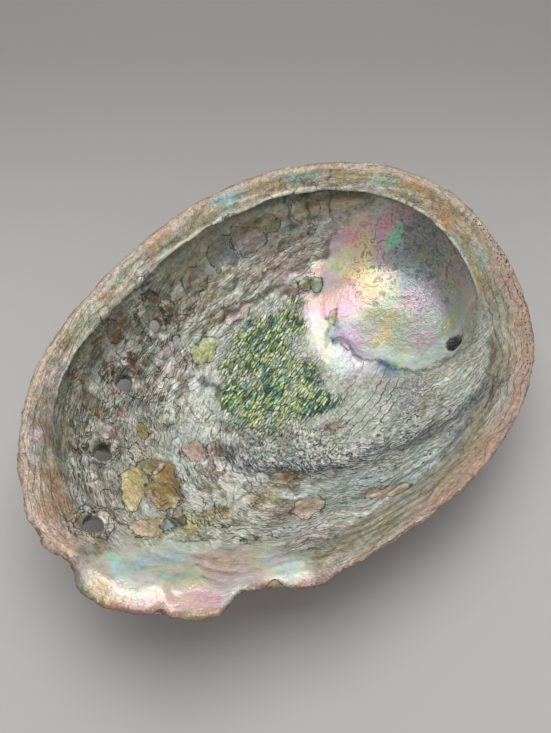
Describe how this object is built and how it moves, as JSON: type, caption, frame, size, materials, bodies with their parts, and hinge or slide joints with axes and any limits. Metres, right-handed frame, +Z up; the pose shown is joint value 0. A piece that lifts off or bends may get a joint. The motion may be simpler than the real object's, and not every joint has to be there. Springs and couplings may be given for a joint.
{
  "type": "abalone shell",
  "caption": "Large oval seashell lying on its back, a deep mother-of-pearl bowl with a shelf along one edge, a row of breathing pores and a rough outside.",
  "frame": {"origin": "under the middle of the shell's length and width, on the surface that it lies on", "axes": "+X along the shell towards the spire, +Y towards the shelf and the row of pores, +Z up out of the bowl"},
  "size_m": [0.2054, 0.15, 0.0501],
  "materials": {
    "nacre": "iridescent mother-of-pearl with dark growth lines inside, worn edge, rough matt outside"
  },
  "bodies": {
    "root": {"shell": "nacre"}
  },
  "joints": []
}
